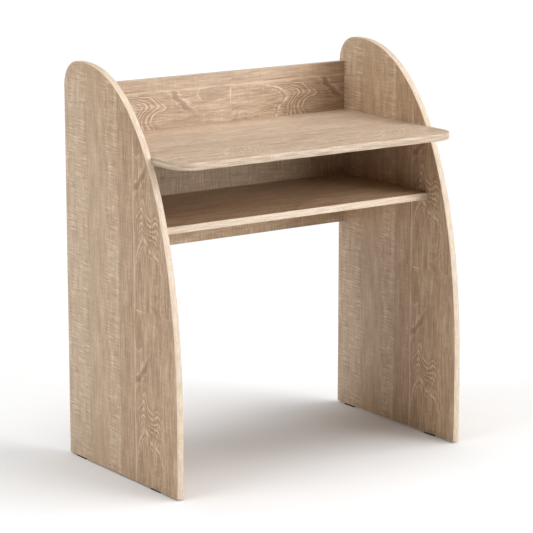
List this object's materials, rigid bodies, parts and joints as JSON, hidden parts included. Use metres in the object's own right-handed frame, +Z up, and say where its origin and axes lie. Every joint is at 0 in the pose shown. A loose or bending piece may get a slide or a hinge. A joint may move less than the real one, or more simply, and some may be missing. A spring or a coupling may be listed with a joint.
{
  "type": "computer desk",
  "caption": "Flat-pack computer desk with curved side panels, a worktop with rounded front corners, an upstand back panel and a fixed open keyboard shelf below.",
  "frame": {"origin": "on the floor, at the middle of the desk's width and depth", "axes": "+Z up, +Y towards the back of the desk (the user sits at -Y), +X to the right as seen by a person facing the desk from the front"},
  "size_m": [0.8, 0.46, 0.932],
  "materials": {
    "oak_board": "melamine-faced chipboard printed as pale sawn oak, satin",
    "edge_band": "thin wood-effect edge banding, paler than the boards, satin",
    "glide_plastic": "moulded black plastic, fine grain",
    "zinc": "die-cast zinc, dull",
    "steel": "bright zinc-plated steel",
    "beech": "plain beech, fluted and unfinished"
  },
  "bodies": {
    "root": {"back_panel": "oak_board", "back_panel_bottom_edge_band": "edge_band", "back_panel_top_edge_band": "edge_band", "cam_bolt_back_left_lower": "steel", "cam_bolt_back_left_upper": "steel", "cam_bolt_back_right_lower": "steel", "cam_bolt_back_right_upper": "steel", "cam_bolt_shelf_left_front": "steel", "cam_bolt_shelf_left_rear": "steel", "cam_bolt_shelf_right_front": "steel", "cam_bolt_shelf_right_rear": "steel", "cam_bolt_worktop_left_front": "steel", "cam_bolt_worktop_left_rear": "steel", "cam_bolt_worktop_right_front": "steel", "cam_bolt_worktop_right_rear": "steel", "cam_lock_back_left_lower": "zinc", "cam_lock_back_left_upper": "zinc", "cam_lock_back_right_lower": "zinc", "cam_lock_back_right_upper": "zinc", "cam_lock_shelf_left_front": "zinc", "cam_lock_shelf_left_rear": "zinc", "cam_lock_shelf_right_front": "zinc", "cam_lock_shelf_right_rear": "zinc", "cam_lock_worktop_left_front": "zinc", "cam_lock_worktop_left_rear": "zinc", "cam_lock_worktop_right_front": "zinc", "cam_lock_worktop_right_rear": "zinc", "dowel_back_left_lower": "beech", "dowel_back_left_upper": "beech", "dowel_back_right_lower": "beech", "dowel_back_right_upper": "beech", "dowel_shelf_left_front": "beech", "dowel_shelf_left_rear": "beech", "dowel_shelf_right_front": "beech", "dowel_shelf_right_rear": "beech", "dowel_worktop_left_front": "beech", "dowel_worktop_left_rear": "beech", "dowel_worktop_right_front": "beech", "dowel_worktop_right_rear": "beech", "glide_left_front": "glide_plastic", "glide_left_rear": "glide_plastic", "glide_nail_left_front_1": "steel", "glide_nail_left_front_2": "steel", "glide_nail_left_rear_1": "steel", "glide_nail_left_rear_2": "steel", "glide_nail_right_front_1": "steel", "glide_nail_right_front_2": "steel", "glide_nail_right_rear_1": "steel", "glide_nail_right_rear_2": "steel", "glide_right_front": "glide_plastic", "glide_right_rear": "glide_plastic", "keyboard_shelf": "oak_board", "keyboard_shelf_edge_band": "edge_band", "side_panel_left": "oak_board", "side_panel_left_edge_band": "edge_band", "side_panel_right": "oak_board", "side_panel_right_edge_band": "edge_band", "worktop": "oak_board", "worktop_edge_band": "edge_band"}
  },
  "joints": []
}
